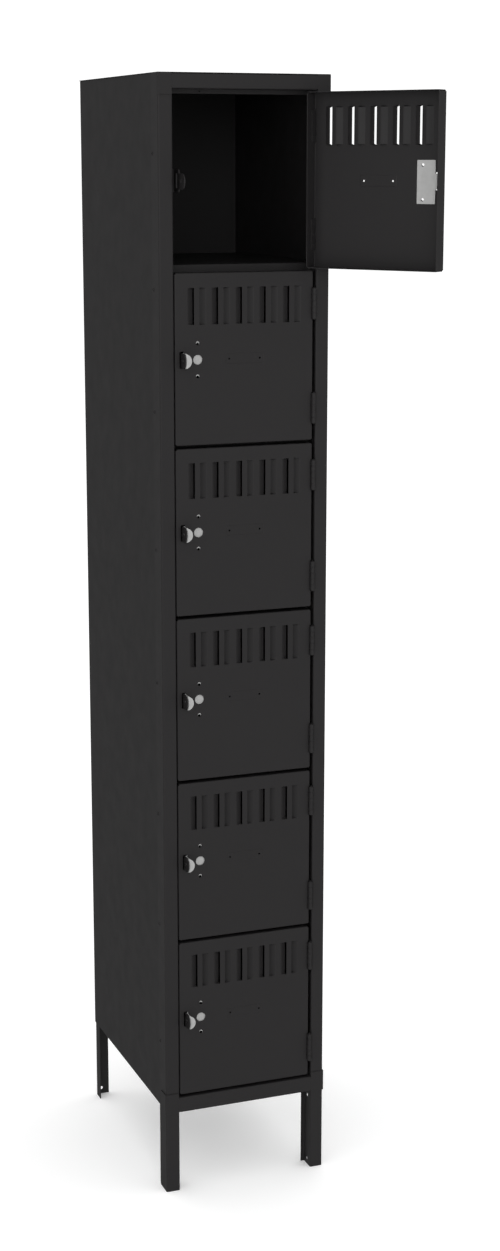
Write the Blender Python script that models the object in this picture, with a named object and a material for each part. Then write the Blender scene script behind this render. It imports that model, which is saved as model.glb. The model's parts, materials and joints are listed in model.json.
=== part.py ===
"""Six-tier steel locker cabinet on four legs, with its top door standing open.

Units are metres. X runs right along the front, Y runs back and Z runs up. The origin is on the floor at
the front left corner of the cabinet. Every door turns about a vertical pin line at its right edge.
"""

import math

import bmesh
import bpy
from mathutils import Matrix, Vector

MM = 0.001

# Whole cabinet
WIDTH = 306.3 * MM
DEPTH = 450.15 * MM
HEIGHT = 1981.2 * MM
GAP = 0.3 * MM  # between neighbouring sheets
BODY_BOTTOM = 156.0 * MM
TIERS = 6
TIER_PITCH = 295.1 * MM
TOP_DOOR_MID = 1806.9 * MM
LOWEST_TIER_GAP = 184.0 * MM

# Sheet thicknesses
FRAME_SHEET = 1.5 * MM
MEMBER_SHEET = 1.2 * MM
BODY_SHEET = 0.8 * MM
SHELF_SHEET = 1.0 * MM
DOOR_SHEET = 1.2 * MM
BEND_RADIUS = 2.0 * MM
BEND_STEPS = 2

# Uprights and legs
UPRIGHT_FACE = 24.0 * MM
UPRIGHT_SIDE = 36.0 * MM
STOP_FRONT = 29.5 * MM
STOP_REACH = 30.5 * MM
LEG_HOLE = 7.0 * MM
LEG_HOLE_BACK = 16.5 * MM
LEG_HOLE_HEIGHTS = (11.0 * MM, 138.5 * MM)
REAR_LEG_FLANGE = 25.0 * MM
REAR_LEG_TOP = 181.0 * MM
REAR_LEG_HOLE = (12.0 * MM, 12.0 * MM)

# Side, back and top sheets
SIDE_INSET = 1.8 * MM
SIDE_FRONT = 3.0 * MM
SIDE_RETURN = 22.0 * MM
BACK_OFFSET = 3.65 * MM
TOP_SHEET = 0.8 * MM
TOP_FLANGE = 20.0 * MM

# Cross members
TOP_MEMBER_BOTTOM = 1955.0 * MM
TOP_EAR_BOTTOM = 1945.8 * MM
TOP_STOP_BOTTOM = 1948.0 * MM
BASE_MEMBER_BOTTOM = 152.8 * MM
BASE_MEMBER_TOP = 181.5 * MM
BASE_EAR_TOP = 190.4 * MM
BASE_WRAP = 25.0 * MM
MEMBER_FLANGE = 24.0 * MM

# Shelves, from the middle of the gap between two doors
SHELF_RISE = 9.5 * MM
SHELF_LIP = 19.0 * MM
SHELF_FLANGE = 12.0 * MM
SHELF_BACK = 446.2 * MM

# Doors, in the frame of their own hinge axis
HINGE_X = 278.0 * MM
HINGE_Y = -3.0 * MM
DOOR_LEFT = 27.0 * MM - HINGE_X
DOOR_RIGHT = 277.0 * MM - HINGE_X
DOOR_FRONT = 0.0 - HINGE_Y
DOOR_HEIGHT = 289.5 * MM
DOOR_FLANGE = 25.0 * MM
OPEN_DOOR = 1
OPEN_ANGLE = math.radians(125.4)

# Louvers
LOUVERS = 5
LOUVER_PITCH = 42.95 * MM
LOUVER_FIRST = 61.5 * MM - HINGE_X
LOUVER_STRIP = 9.3 * MM
LOUVER_SLIT = 1.0 * MM
LOUVER_RAMP = 11.5 * MM
LOUVER_DEPTH = 6.0 * MM
LOUVER_BOTTOM = 58.4 * MM
LOUVER_TOP = 120.3 * MM
LOUVER_END = 6.0 * MM

# Latch openings in the door, as (x, z) from the hinge axis and the middle of the door
LATCH_LEFT = 35.0 * MM - HINGE_X
LATCH_RIGHT = 43.8 * MM - HINGE_X
LATCH_TOP = 14.6 * MM
LATCH_BOTTOM = -14.2 * MM
LATCH_CORNER = 2.0 * MM
LOCK_X = 67.4 * MM - HINGE_X
LOCK_HOLE = 17.0 * MM
LOCK_SCREW_HOLE = 5.8 * MM
LOCK_SCREW_Z = 27.8 * MM
NUMBER_HOLES_X = (124.2 * MM - HINGE_X, 179.7 * MM - HINGE_X)
NUMBER_HOLE = 3.0 * MM

# Catch plate behind the latch openings, and the half-round pull folded out from it
CATCH_LEFT = 44.0 * MM - HINGE_X
CATCH_RIGHT = 78.0 * MM - HINGE_X
CATCH_TOP = 34.0 * MM
CATCH_BOTTOM = -36.4 * MM
CATCH_SHEET = 1.3 * MM
PULL_LEFT = 40.3 * MM - HINGE_X
PULL_REACH = 19.0 * MM
PULL_MIDDLE = (39.4 * MM - HINGE_X, -1.2 * MM)
PULL_RADIUS = 12.4 * MM
CATCH_SCREW_HOLE = 4.0 * MM
CATCH_SCREW_DROP = -1.2 * MM

# Padlock staple on the left upright
STAPLE_LEFT = 37.9 * MM
STAPLE_SHEET = 1.7 * MM
STAPLE_FOOT_LEFT = 25.0 * MM
STAPLE_FOOT_FRONT = 31.3 * MM
STAPLE_HALF_BASE = 18.5 * MM
STAPLE_HALF_EAR = 13.7 * MM
STAPLE_SHOULDER = (6.2 * MM, 8.7 * MM)
STAPLE_NOSE_START = -8.5 * MM
STAPLE_NOSE = -22.0 * MM
STAPLE_WINDOW_FRONT = 6.7 * MM
STAPLE_WINDOW_BACK = 20.5 * MM
STAPLE_WINDOW_HALF = 12.5 * MM
STAPLE_EYE = 7.6 * MM
STAPLE_EYE_Y = -6.4 * MM

# Hinges, two on each door
HINGE_OFFSET = 89.5 * MM
HINGE_HEIGHT = 52.0 * MM
KNUCKLES = 5
KNUCKLE_RADIUS = 4.0 * MM
KNUCKLE_BORE = 1.9 * MM
KNUCKLE_GAP = 0.4 * MM
PIN_RADIUS = 1.4 * MM
PIN_HEAD_RADIUS = 2.6 * MM
PIN_HEAD = 1.0 * MM
LEAF_FRONT = 0.6 * MM
LEAF_BACK = 14.0 * MM
LEAF_SHEET = 1.4 * MM
WELD_BITE = 0.3 * MM
NOTCH_LEFT = 273.6 * MM - HINGE_X
NOTCH_HALF = 27.0 * MM
NOTCH_DEPTH = 5.0 * MM

ROUND_STEPS = 12
SMALL_STEPS = 8
SMOOTH_ANGLE = math.radians(35)
OVERCUT = 2.0 * MM


def clear_scene():
    for old in list(bpy.data.objects):
        bpy.data.objects.remove(old, do_unlink=True)


# --- materials -------------------------------------------------------------------------------------------


def simple_material(name, colour, roughness, metallic):
    made = bpy.data.materials.new(name)
    made.use_nodes = True
    shader = made.node_tree.nodes["Principled BSDF"]
    shader.inputs["Base Color"].default_value = (*colour, 1.0)
    shader.inputs["Roughness"].default_value = roughness
    shader.inputs["Metallic"].default_value = metallic
    made.diffuse_color = (*colour, 1.0)
    return made


def black_paint():
    return simple_material("black_powder_coat", (0.030, 0.028, 0.029), 0.55, 0.0)


def zinc_plate():
    return simple_material("zinc_plated_steel", (0.55, 0.55, 0.54), 0.35, 1.0)


# --- shapes ----------------------------------------------------------------------------------------------


def finished_mesh(name, bm):
    bmesh.ops.recalc_face_normals(bm, faces=bm.faces)
    mesh = bpy.data.meshes.new(name)
    bm.to_mesh(mesh)
    bm.free()
    return mesh


def prism_mesh(outline, axis, low, high):
    """A straight bar along an axis. The outline is (y, z), (x, z) or (x, y) points for axis x, y or z."""
    corner = {
        "x": lambda a, b: (low, a, b),
        "y": lambda a, b: (a, low, b),
        "z": lambda a, b: (a, b, low),
    }[axis]
    step = {"x": (1, 0, 0), "y": (0, 1, 0), "z": (0, 0, 1)}[axis]
    bm = bmesh.new()
    face = bm.faces.new([bm.verts.new(corner(a, b)) for a, b in outline])
    grown = bmesh.ops.extrude_face_region(bm, geom=[face])["geom"]
    moved = [part for part in grown if isinstance(part, bmesh.types.BMVert)]
    bmesh.ops.translate(bm, verts=moved, vec=Vector(step) * (high - low))
    return finished_mesh("bar", bm)


def box_mesh(low, high):
    outline = [(low[0], low[1]), (high[0], low[1]), (high[0], high[1]), (low[0], high[1])]
    return prism_mesh(outline, "z", low[2], high[2])


def circle_outline(centre, radius, steps):
    turns = [2 * math.pi * (i + 0.5) / steps for i in range(steps)]
    return [(centre[0] + radius * math.cos(a), centre[1] + radius * math.sin(a)) for a in turns]


def folded_outline(corners, thickness):
    """Outline of a folded sheet whose middle line runs through the corners, with a round bend at each."""
    points = [Vector(corner) for corner in corners]
    half = thickness / 2
    left, right = [], []
    last = len(points) - 1
    for i, point in enumerate(points):
        into = (point - points[i - 1]).normalized() if i > 0 else None
        out = (points[i + 1] - point).normalized() if i < last else None
        if into is None or out is None:
            along = out or into
            side = Vector((-along.y, along.x))
            left.append(point + side * half)
            right.append(point - side * half)
            continue
        turn = math.atan2(into.x * out.y - into.y * out.x, into.dot(out))
        sign = math.copysign(1, turn)
        reach = BEND_RADIUS * math.tan(abs(turn) / 2)
        side = Vector((-into.y, into.x)) * sign
        centre = point - into * reach + side * BEND_RADIUS
        for step in range(BEND_STEPS + 1):
            spoke = Matrix.Rotation(turn * step / BEND_STEPS, 2) @ -side
            left.append(centre + spoke * (BEND_RADIUS - sign * half))
            right.append(centre + spoke * (BEND_RADIUS + sign * half))
    return [tuple(point) for point in left + right[::-1]]


def mirrored(outline):
    """The outline seen from the other side of the cabinet."""
    return [(WIDTH - x, y) for x, y in outline]


def baked_mesh(obj):
    """The object's mesh with its modifiers applied."""
    graph = bpy.context.evaluated_depsgraph_get()
    return bpy.data.meshes.new_from_object(obj.evaluated_get(graph))


def combined(operation, first, others):
    """The first mesh with the others added to it or cut from it."""
    result = first
    for other in others:
        base = bpy.data.objects.new("base", result)
        tool = bpy.data.objects.new("tool", other)
        tool.hide_render = True
        tool.display_type = "WIRE"
        for obj in (base, tool):
            bpy.context.scene.collection.objects.link(obj)
        step = base.modifiers.new("combine", "BOOLEAN")
        step.operation = operation
        step.solver = "EXACT"
        step.object = tool
        result = baked_mesh(base)
        for obj in (base, tool):
            bpy.data.objects.remove(obj, do_unlink=True)
    return result


def joined(first, *others):
    return combined("UNION", first, others)


def cut(first, *others):
    return combined("DIFFERENCE", first, others)


def copies_mesh(mesh, offsets):
    """Separate copies of a closed mesh, one at each offset."""
    bm = bmesh.new()
    for offset in offsets:
        before = len(bm.verts)
        bm.from_mesh(mesh)
        bm.verts.ensure_lookup_table()
        bmesh.ops.translate(bm, verts=bm.verts[before:], vec=offset)
    return finished_mesh("copies", bm)


def place(name, mesh, material, parent=None, location=(0, 0, 0)):
    """A named object, smooth over its rounds and sharp at its edges; several objects may share a mesh."""
    obj = bpy.data.objects.new(name, mesh)
    bpy.context.scene.collection.objects.link(obj)
    if not mesh.materials:
        mesh.materials.append(material)
        mesh.shade_smooth()
        mesh.set_sharp_from_angle(angle=SMOOTH_ANGLE)
    obj.location = location
    obj.parent = parent
    return obj


# --- frame -----------------------------------------------------------------------------------------------


def upright_mesh(flip):
    """Corner channel from the floor to the top, with a narrow stop lip that the doors close in front of."""
    mid = FRAME_SHEET / 2
    path = [
        (mid, UPRIGHT_SIDE),
        (mid, mid),
        (UPRIGHT_FACE - mid, mid),
        (UPRIGHT_FACE - mid, STOP_FRONT + mid),
        (STOP_REACH, STOP_FRONT + mid),
    ]
    outline = folded_outline(path, FRAME_SHEET)
    low, high = UPRIGHT_FACE - 2 * FRAME_SHEET, UPRIGHT_FACE + FRAME_SHEET
    if flip:
        outline = mirrored(outline)
        low, high = WIDTH - high, WIDTH - low
    channel = prism_mesh(outline, "z", 0.0, HEIGHT - TOP_SHEET - GAP)
    drills = [
        prism_mesh(circle_outline((LEG_HOLE_BACK, z), LEG_HOLE / 2, ROUND_STEPS), "x", low, high)
        for z in LEG_HOLE_HEIGHTS
    ]
    return cut(channel, *drills)


def knuckle_zones(first):
    """Boxes around every second knuckle of a hinge, a little longer than the knuckle."""
    pitch = HINGE_HEIGHT / KNUCKLES
    reach = KNUCKLE_RADIUS + KNUCKLE_GAP
    boxes = []
    for i in range(first, KNUCKLES, 2):
        low = -HINGE_HEIGHT / 2 + i * pitch - KNUCKLE_GAP / 2
        high = low + pitch + KNUCKLE_GAP
        low = low - OVERCUT if i == 0 else low
        high = high + OVERCUT if i == KNUCKLES - 1 else high
        boxes.append(box_mesh((-reach, -reach, low), (reach, reach, high)))
    return boxes


def hinge_leaf_mesh(inner, outer, first_zone):
    """One leaf of a butt hinge about the Z axis: a plate between two x values, rolled into knuckles."""
    half = HINGE_HEIGHT / 2
    front, back = LEAF_FRONT - HINGE_Y, LEAF_BACK - HINGE_Y
    plate = box_mesh((inner, front, -half), (outer, back, half))
    outside = max(inner, outer, key=abs)
    tangent = math.copysign(KNUCKLE_RADIUS * math.cos(math.pi / SMALL_STEPS), outside)
    strap_x = sorted((tangent, tangent - math.copysign(LEAF_SHEET, outside)))
    strap = box_mesh((strap_x[0], 0.0, -half), (strap_x[1], front + 2 * WELD_BITE, half))
    barrel = prism_mesh(circle_outline((0, 0), KNUCKLE_RADIUS, SMALL_STEPS), "z", -half, half)
    bore_outline = circle_outline((0, 0), KNUCKLE_BORE, SMALL_STEPS)
    bore = prism_mesh(bore_outline, "z", -half - OVERCUT, half + OVERCUT)
    rolled = cut(joined(barrel, strap), bore, *knuckle_zones(first_zone))
    return joined(plate, rolled)


def frame_leaf_mesh():
    """The leaf beside the right upright, biting into it where the weld is."""
    tangent = KNUCKLE_RADIUS * math.cos(math.pi / SMALL_STEPS)
    weld = WIDTH - UPRIGHT_FACE + WELD_BITE - HINGE_X
    return hinge_leaf_mesh(tangent - LEAF_SHEET, weld, 1)


def door_leaf_mesh():
    """The leaf inside the door's edge flange, which its knuckles reach through a notch."""
    outer = DOOR_RIGHT - DOOR_SHEET - GAP
    return hinge_leaf_mesh(outer - LEAF_SHEET, outer, 0)


def hinge_pin_mesh():
    """A turned pin with a low head at each end."""
    end = HINGE_HEIGHT / 2 + KNUCKLE_GAP
    profile = [
        (PIN_HEAD_RADIUS, -end - PIN_HEAD),
        (PIN_HEAD_RADIUS, -end),
        (PIN_RADIUS, -end),
        (PIN_RADIUS, end),
        (PIN_HEAD_RADIUS, end),
        (PIN_HEAD_RADIUS, end + PIN_HEAD),
    ]
    bm = bmesh.new()
    rings = []
    for radius, z in profile:
        ring = [bm.verts.new((x, y, z)) for x, y in circle_outline((0, 0), radius, SMALL_STEPS)]
        rings.append(ring)
    for lower, upper in zip(rings, rings[1:]):
        for i in range(SMALL_STEPS):
            j = (i + 1) % SMALL_STEPS
            bm.faces.new((lower[i], lower[j], upper[j], upper[i]))
    bm.faces.new(rings[0])
    bm.faces.new(rings[-1])
    return finished_mesh("hinge_pin", bm)


def door_mids():
    return [TOP_DOOR_MID - i * TIER_PITCH for i in range(TIERS)]


def hinge_heights():
    return [mid + side * HINGE_OFFSET for mid in door_mids() for side in (1, -1)]


def right_upright_mesh():
    leaves = copies_mesh(frame_leaf_mesh(), [Vector((HINGE_X, HINGE_Y, z)) for z in hinge_heights()])
    return joined(upright_mesh(True), leaves)


def rear_leg_mesh(flip):
    """Short angle inside the rear corner, from the floor to just below the bottom shelf."""
    mid = FRAME_SHEET / 2
    side = SIDE_INSET + BODY_SHEET + GAP + mid
    rear = DEPTH - BODY_SHEET - GAP - mid
    path = [
        (side, rear + mid - REAR_LEG_FLANGE),
        (side, rear),
        (side - mid + REAR_LEG_FLANGE, rear),
    ]
    outline = folded_outline(path, FRAME_SHEET)
    hole_x = REAR_LEG_HOLE[0]
    if flip:
        outline = mirrored(outline)
        hole_x = WIDTH - hole_x
    angle = prism_mesh(outline, "z", 0.0, REAR_LEG_TOP)
    hole_outline = circle_outline((hole_x, REAR_LEG_HOLE[1]), LEG_HOLE / 2, ROUND_STEPS)
    hole = prism_mesh(hole_outline, "y", rear - OVERCUT, rear + OVERCUT)
    return cut(angle, hole)


def side_panel_mesh(flip):
    """Side sheet, folded in behind the back."""
    mid = BODY_SHEET / 2
    path = [
        (SIDE_INSET + mid, SIDE_FRONT),
        (SIDE_INSET + mid, DEPTH - mid),
        (SIDE_RETURN, DEPTH - mid),
    ]
    outline = folded_outline(path, BODY_SHEET)
    if flip:
        outline = mirrored(outline)
    return prism_mesh(outline, "z", BODY_BOTTOM, HEIGHT - TOP_SHEET - GAP)


def back_panel_mesh():
    edge = SIDE_INSET + BODY_SHEET + GAP + FRAME_SHEET + BEND_RADIUS
    back = DEPTH - BACK_OFFSET
    low = (edge, back, BODY_BOTTOM)
    high = (WIDTH - edge, back + BODY_SHEET, HEIGHT - TOP_SHEET - GAP)
    return box_mesh(low, high)


def top_panel_mesh():
    """Top sheet with flanges turned down inside the side and back sheets."""
    front = -GAP - MEMBER_SHEET
    top = box_mesh((0.0, front, HEIGHT - TOP_SHEET), (WIDTH, DEPTH, HEIGHT))
    inset = SIDE_INSET + BODY_SHEET + GAP
    rear = DEPTH - BACK_OFFSET - GAP
    start = UPRIGHT_SIDE + 2 * GAP
    under = HEIGHT - TOP_SHEET - TOP_FLANGE
    bite = HEIGHT - TOP_SHEET / 2
    flanges = [
        box_mesh((inset, start, under), (inset + TOP_SHEET, rear, bite)),
        box_mesh((WIDTH - inset - TOP_SHEET, start, under), (WIDTH - inset, rear, bite)),
        box_mesh((inset, rear - TOP_SHEET, under), (WIDTH - inset, rear, bite)),
    ]
    return joined(top, *flanges)


def stop_notches(low, high):
    """Room for the uprights' stop lips at both ends of a cross member or a shelf."""
    inner = STOP_REACH + GAP
    front = STOP_FRONT - BEND_RADIUS
    back = STOP_FRONT + FRAME_SHEET + GAP
    return [
        box_mesh((0.0, front, low), (inner, back, high)),
        box_mesh((WIDTH - inner, front, low), (WIDTH, back, high)),
    ]


def member_bar(path):
    """The folded bar of a cross member, between the two uprights."""
    inner = UPRIGHT_FACE + GAP
    return prism_mesh(folded_outline(path, MEMBER_SHEET), "x", inner, WIDTH - inner)


def top_cross_member_mesh():
    """Folded bar above the top door, with a stop lip below and an ear over each upright."""
    mid = MEMBER_SHEET / 2
    web = -GAP - mid
    top = HEIGHT - TOP_SHEET - GAP - mid
    bottom = TOP_MEMBER_BOTTOM + mid
    stop = STOP_FRONT + mid
    bar = member_bar([(MEMBER_FLANGE, top), (web, top), (web, bottom), (stop, bottom), (stop, TOP_STOP_BOTTOM)])
    front, back = -GAP - MEMBER_SHEET, -GAP
    lap = UPRIGHT_FACE + 2 * GAP
    roof = top + mid
    left_ear = box_mesh((0.0, front, TOP_EAR_BOTTOM), (UPRIGHT_FACE, back, roof))
    right_ear = box_mesh((WIDTH - UPRIGHT_FACE, front, TOP_EAR_BOTTOM), (WIDTH, back, roof))
    tie_low, tie_high = TOP_MEMBER_BOTTOM + BEND_RADIUS * 2, roof - BEND_RADIUS * 2
    left_tie = box_mesh((UPRIGHT_FACE / 2, front, tie_low), (lap, back, tie_high))
    right_tie = box_mesh((WIDTH - lap, front, tie_low), (WIDTH - UPRIGHT_FACE / 2, back, tie_high))
    whole = joined(bar, left_tie, right_tie, left_ear, right_ear)
    return cut(whole, *stop_notches(TOP_STOP_BOTTOM - OVERCUT, HEIGHT))


def base_cross_member_mesh():
    """Folded bar below the lowest door, whose tall ends wrap round the uprights."""
    mid = MEMBER_SHEET / 2
    web = -GAP - mid
    low = BASE_MEMBER_BOTTOM + mid
    high = BASE_MEMBER_TOP - mid
    bar = member_bar([(MEMBER_FLANGE, low), (web, low), (web, high), (MEMBER_FLANGE, high)])
    lap = UPRIGHT_FACE + 2 * GAP
    wrap = folded_outline([(UPRIGHT_FACE, web), (web, web), (web, BASE_WRAP)], MEMBER_SHEET)
    front, back = -GAP - MEMBER_SHEET, -GAP
    tie_low, tie_high = BASE_MEMBER_BOTTOM + BEND_RADIUS * 2, BASE_MEMBER_TOP - BEND_RADIUS * 2
    ends = []
    for outline in (wrap, mirrored(wrap)):
        ends.append(prism_mesh(outline, "z", BASE_MEMBER_BOTTOM, BASE_EAR_TOP))
    for left, right in ((UPRIGHT_FACE / 2, lap), (WIDTH - lap, WIDTH - UPRIGHT_FACE / 2)):
        ends.append(box_mesh((left, front, tie_low), (right, back, tie_high)))
    return joined(bar, *ends)


def shelf_mesh():
    """Shelf folded down at all four edges, about the middle of the gap between two doors."""
    mid = SHELF_SHEET / 2
    top = SHELF_RISE
    lip = STOP_FRONT + mid
    path = [
        (lip, top - SHELF_LIP),
        (lip, top - mid),
        (SHELF_BACK - mid, top - mid),
        (SHELF_BACK - mid, top - SHELF_FLANGE),
    ]
    edge = SIDE_INSET + BODY_SHEET + GAP
    sheet = prism_mesh(folded_outline(path, SHELF_SHEET), "x", edge, WIDTH - edge)
    front = STOP_FRONT + FRAME_SHEET + 2 * GAP
    rear = SHELF_BACK - BEND_RADIUS * 2
    flanges = [
        box_mesh((left, front, top - SHELF_FLANGE), (left + SHELF_SHEET, rear, top - mid))
        for left in (edge, WIDTH - edge - SHELF_SHEET)
    ]
    inner = STOP_REACH + GAP
    back = STOP_FRONT + FRAME_SHEET + GAP
    corners = [
        box_mesh((left, 0.0, -SHELF_LIP), (left + inner, back, SHELF_LIP))
        for left in (0.0, WIDTH - inner)
    ]
    return joined(cut(sheet, *corners), *flanges)


def nose_outline():
    """The staple's ear and base, as (y, z) points about the middle of the door."""
    outline = [
        (STAPLE_FOOT_FRONT + STAPLE_SHEET, -STAPLE_HALF_BASE),
        (STAPLE_FOOT_FRONT + STAPLE_SHEET, STAPLE_HALF_BASE),
        (STAPLE_SHOULDER[1], STAPLE_HALF_BASE),
        (STAPLE_SHOULDER[0], STAPLE_HALF_EAR),
        (STAPLE_NOSE_START, STAPLE_HALF_EAR),
    ]
    steps = ROUND_STEPS // 2
    for i in range(1, steps):
        turn = math.pi * i / steps
        bulge = STAPLE_NOSE_START - STAPLE_NOSE
        outline.append((STAPLE_NOSE_START - bulge * math.sin(turn), STAPLE_HALF_EAR * math.cos(turn)))
    outline.append((STAPLE_NOSE_START, -STAPLE_HALF_EAR))
    outline.append((STAPLE_SHOULDER[0], -STAPLE_HALF_EAR))
    outline.append((STAPLE_SHOULDER[1], -STAPLE_HALF_BASE))
    return outline


def staple_mesh():
    """Padlock staple: a plate on edge that reaches forward through the door, with a foot on the stop lip."""
    right = STAPLE_LEFT + STAPLE_SHEET
    ear = prism_mesh(nose_outline(), "x", STAPLE_LEFT, right)
    foot_back = STAPLE_FOOT_FRONT + STAPLE_SHEET
    low = (STAPLE_FOOT_LEFT, STAPLE_FOOT_FRONT, -STAPLE_HALF_BASE)
    foot = box_mesh(low, (STAPLE_LEFT + STAPLE_SHEET / 2, foot_back, STAPLE_HALF_BASE))
    window = box_mesh(
        (STAPLE_LEFT - OVERCUT, STAPLE_WINDOW_FRONT, -STAPLE_WINDOW_HALF),
        (right + OVERCUT, STAPLE_WINDOW_BACK, STAPLE_WINDOW_HALF),
    )
    eye_outline = circle_outline((STAPLE_EYE_Y, 0.0), STAPLE_EYE / 2, ROUND_STEPS)
    eye = prism_mesh(eye_outline, "x", STAPLE_LEFT - OVERCUT, right + OVERCUT)
    return cut(joined(ear, foot), window, eye)


# --- doors -----------------------------------------------------------------------------------------------


def louver_columns():
    """The x lines of the louvers, each with its depth, and the slits between them."""
    columns = []
    slits = set()
    for i in range(LOUVERS):
        strip_left = LOUVER_FIRST + i * LOUVER_PITCH
        strip_right = strip_left + LOUVER_STRIP
        first = len(columns) + 1
        columns += [
            (strip_left - LOUVER_SLIT - LOUVER_RAMP, 0.0),
            (strip_left - LOUVER_SLIT, LOUVER_DEPTH),
            (strip_left, 0.0),
            (strip_right, 0.0),
            (strip_right + LOUVER_SLIT, LOUVER_DEPTH),
            (strip_right + LOUVER_SLIT + LOUVER_RAMP, 0.0),
        ]
        slits |= {first + 1, first + 3}
    return columns, slits


def door_sheet_mesh():
    """The door's skin with its pressed louvers and its four edge flanges, as a bare surface."""
    columns, slits = louver_columns()
    columns = [(DOOR_LEFT, 0.0), *columns, (DOOR_RIGHT, 0.0)]
    half = DOOR_HEIGHT / 2
    rows = [
        (-half, False),
        (LOUVER_BOTTOM, False),
        (LOUVER_BOTTOM + LOUVER_END, True),
        (LOUVER_TOP - LOUVER_END, True),
        (LOUVER_TOP, False),
        (half, False),
    ]
    bm = bmesh.new()
    grid = [
        [bm.verts.new((x, DOOR_FRONT + (depth if pressed else 0.0), z)) for z, pressed in rows]
        for x, depth in columns
    ]
    for i, (left, right) in enumerate(zip(grid, grid[1:])):
        for j in range(len(rows) - 1):
            if i in slits and 0 < j < len(rows) - 2:
                continue
            bm.faces.new((left[j], right[j], right[j + 1], left[j + 1]))

    def on_rim(vert):
        at_side = min(abs(vert.co.x - DOOR_LEFT), abs(vert.co.x - DOOR_RIGHT)) < GAP
        return at_side or abs(abs(vert.co.z) - half) < GAP

    rim = [edge for edge in bm.edges if edge.is_boundary and all(map(on_rim, edge.verts))]
    grown = bmesh.ops.extrude_edge_only(bm, edges=rim)["geom"]
    back = [part for part in grown if isinstance(part, bmesh.types.BMVert)]
    bmesh.ops.translate(bm, verts=back, vec=(0, DOOR_FLANGE, 0))
    return finished_mesh("door_sheet", bm)


def thick_mesh(surface, thickness):
    """The surface thickened inwards into a closed sheet."""
    obj = bpy.data.objects.new("sheet", surface)
    bpy.context.scene.collection.objects.link(obj)
    step = obj.modifiers.new("thickness", "SOLIDIFY")
    step.thickness = thickness
    step.offset = -1.0
    step.use_even_offset = True
    result = baked_mesh(obj)
    bpy.data.objects.remove(obj, do_unlink=True)
    return result


def latch_outline():
    """The slot that the staple and the pull come through, with its corners cut off."""
    return [
        (LATCH_LEFT, LATCH_BOTTOM + LATCH_CORNER),
        (LATCH_LEFT + LATCH_CORNER, LATCH_BOTTOM),
        (LATCH_RIGHT, LATCH_BOTTOM),
        (LATCH_RIGHT, LATCH_TOP),
        (LATCH_LEFT + LATCH_CORNER, LATCH_TOP),
        (LATCH_LEFT, LATCH_TOP - LATCH_CORNER),
    ]


def door_panel_mesh():
    sheet = thick_mesh(door_sheet_mesh(), DOOR_SHEET)
    holes = [
        latch_outline(),
        circle_outline((LOCK_X, 0.0), LOCK_HOLE / 2, 2 * SMALL_STEPS),
        circle_outline((LOCK_X, LOCK_SCREW_Z), LOCK_SCREW_HOLE / 2, SMALL_STEPS),
        circle_outline((LOCK_X, -LOCK_SCREW_Z), LOCK_SCREW_HOLE / 2, SMALL_STEPS),
    ]
    holes += [circle_outline((x, 0.0), NUMBER_HOLE / 2, SMALL_STEPS) for x in NUMBER_HOLES_X]
    front = DOOR_FRONT - OVERCUT
    back = DOOR_FRONT + DOOR_SHEET + OVERCUT
    tools = [prism_mesh(outline, "y", front, back) for outline in holes]
    for middle in (HINGE_OFFSET, -HINGE_OFFSET):
        low = (NOTCH_LEFT, front, middle - NOTCH_HALF)
        high = (DOOR_RIGHT + OVERCUT, DOOR_FRONT + NOTCH_DEPTH, middle + NOTCH_HALF)
        tools.append(box_mesh(low, high))
    return cut(sheet, *tools)


def catch_cutters(web, face):
    """What is cut from the folded catch plate: beside its tab, round the pull's disc, and its holes."""
    low, high = PULL_MIDDLE[1] - PULL_RADIUS, PULL_MIDDLE[1] + PULL_RADIUS
    far_left, far_front = PULL_LEFT - OVERCUT, face - OVERCUT
    plate_back = DOOR_FRONT + DOOR_SHEET + GAP + CATCH_SHEET
    above = box_mesh((far_left, far_front, high), (CATCH_LEFT, plate_back + OVERCUT, CATCH_TOP + OVERCUT))
    below = box_mesh((far_left, far_front, CATCH_BOTTOM - OVERCUT), (CATCH_LEFT, plate_back + OVERCUT, low))
    around = box_mesh(
        (far_left, far_front, CATCH_BOTTOM - 2 * OVERCUT),
        (CATCH_RIGHT, face + CATCH_SHEET, CATCH_TOP + 2 * OVERCUT),
    )
    disc_outline = circle_outline(PULL_MIDDLE, PULL_RADIUS, 2 * ROUND_STEPS)
    disc = prism_mesh(disc_outline, "y", far_front - OVERCUT, face + 2 * OVERCUT)
    eye_outline = circle_outline((STAPLE_EYE_Y - HINGE_Y, 0.0), STAPLE_EYE / 2, ROUND_STEPS)
    eye = prism_mesh(eye_outline, "x", far_left, web + OVERCUT)
    drills = []
    for side in (1, -1):
        centre = (LOCK_X, side * LOCK_SCREW_Z + CATCH_SCREW_DROP)
        hole = circle_outline(centre, CATCH_SCREW_HOLE / 2, SMALL_STEPS)
        drills.append(prism_mesh(hole, "y", DOOR_FRONT, plate_back + OVERCUT))
    return [above, below, cut(around, disc), eye, *drills]


def catch_plate_mesh():
    """Latch plate whose tab folds out through the door's slot and again to a half-round pull in front."""
    mid = CATCH_SHEET / 2
    plate = DOOR_FRONT + DOOR_SHEET + GAP + mid
    web = PULL_LEFT + mid
    face = DOOR_FRONT - PULL_REACH + mid
    path = [(CATCH_RIGHT, plate), (web, plate), (web, face), (PULL_MIDDLE[0] + PULL_RADIUS + CATCH_SHEET, face)]
    sheet = prism_mesh(folded_outline(path, CATCH_SHEET), "z", CATCH_BOTTOM, CATCH_TOP)
    return cut(sheet, *catch_cutters(web, face))


# --- assembly --------------------------------------------------------------------------------------------


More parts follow.
